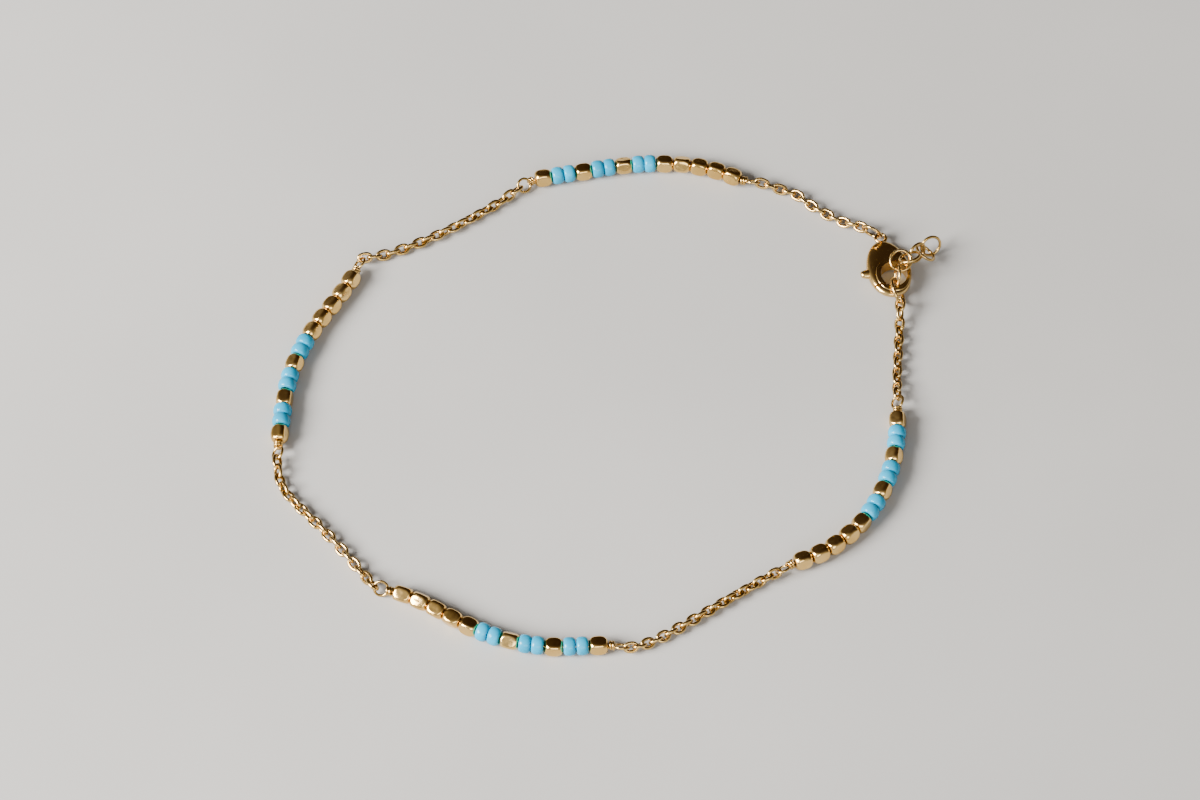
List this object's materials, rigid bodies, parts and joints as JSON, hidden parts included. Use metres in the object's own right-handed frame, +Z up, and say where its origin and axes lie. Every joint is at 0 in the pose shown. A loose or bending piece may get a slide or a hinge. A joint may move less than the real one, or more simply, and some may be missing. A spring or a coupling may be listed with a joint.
{
  "type": "anklet",
  "caption": "Fine gold cable-chain anklet with stations of gold and turquoise beads on wrapped wire, a lobster clasp with a sprung lever and a short ring extender.",
  "frame": {"origin": "middle of the underside of the whole box, on the surface that the anklet lies on", "axes": "+Z up from the surface, +X across the loop towards the clasp's side, -Y towards the viewer of the picture"},
  "size_m": [0.0834, 0.0734, 0.0041],
  "materials": {
    "gold": "polished yellow gold over brass",
    "turquoise": "opaque turquoise glass, glossy"
  },
  "bodies": {
    "anklet": {"station_1_gold_run": "gold", "station_1_turquoise_1": "turquoise", "station_1_turquoise_2": "turquoise", "station_1_gold_1": "gold", "station_1_turquoise_3": "turquoise", "station_1_turquoise_4": "turquoise", "station_1_gold_2": "gold", "station_1_turquoise_5": "turquoise", "station_1_turquoise_6": "turquoise", "station_1_gold_3": "gold", "station_1_wire": "gold", "station_2_gold_run": "gold", "station_2_turquoise_1": "turquoise", "station_2_turquoise_2": "turquoise", "station_2_gold_1": "gold", "station_2_turquoise_3": "turquoise", "station_2_turquoise_4": "turquoise", "station_2_gold_2": "gold", "station_2_turquoise_5": "turquoise", "station_2_turquoise_6": "turquoise", "station_2_gold_3": "gold", "station_2_wire": "gold", "station_3_gold_run": "gold", "station_3_turquoise_1": "turquoise", "station_3_turquoise_2": "turquoise", "station_3_gold_1": "gold", "station_3_turquoise_3": "turquoise", "station_3_turquoise_4": "turquoise", "station_3_gold_2": "gold", "station_3_turquoise_5": "turquoise", "station_3_turquoise_6": "turquoise", "station_3_gold_3": "gold", "station_3_wire": "gold", "station_4_gold_run": "gold", "station_4_turquoise_1": "turquoise", "station_4_turquoise_2": "turquoise", "station_4_gold_1": "gold", "station_4_turquoise_3": "turquoise", "station_4_turquoise_4": "turquoise", "station_4_gold_2": "gold", "station_4_turquoise_5": "turquoise", "station_4_turquoise_6": "turquoise", "station_4_gold_3": "gold", "station_4_wire": "gold", "tail_ring": "gold", "catch_ring": "gold", "extender_ring_1": "gold", "extender_ring_2": "gold", "extender_ring_3": "gold", "extender_ring_4": "gold", "extender_ring_5": "gold", "extender_ring_6": "gold", "chain_1": "gold", "chain_2": "gold", "chain_3": "gold", "chain_4": "gold", "chain_5": "gold", "clasp_body": "gold"},
    "lever": {"clasp_lever": "gold"}
  },
  "joints": [
    {"name": "lever_hinge", "type": "hinge", "parent": "anklet", "child": "lever", "pos_m": [0.03345, 0.01986, 0.00112], "axis": [-0.0091, 0.0515, 0.9986], "range_deg": [0, 10], "stiffness_Nm_per_rad": 0.002}
  ]
}
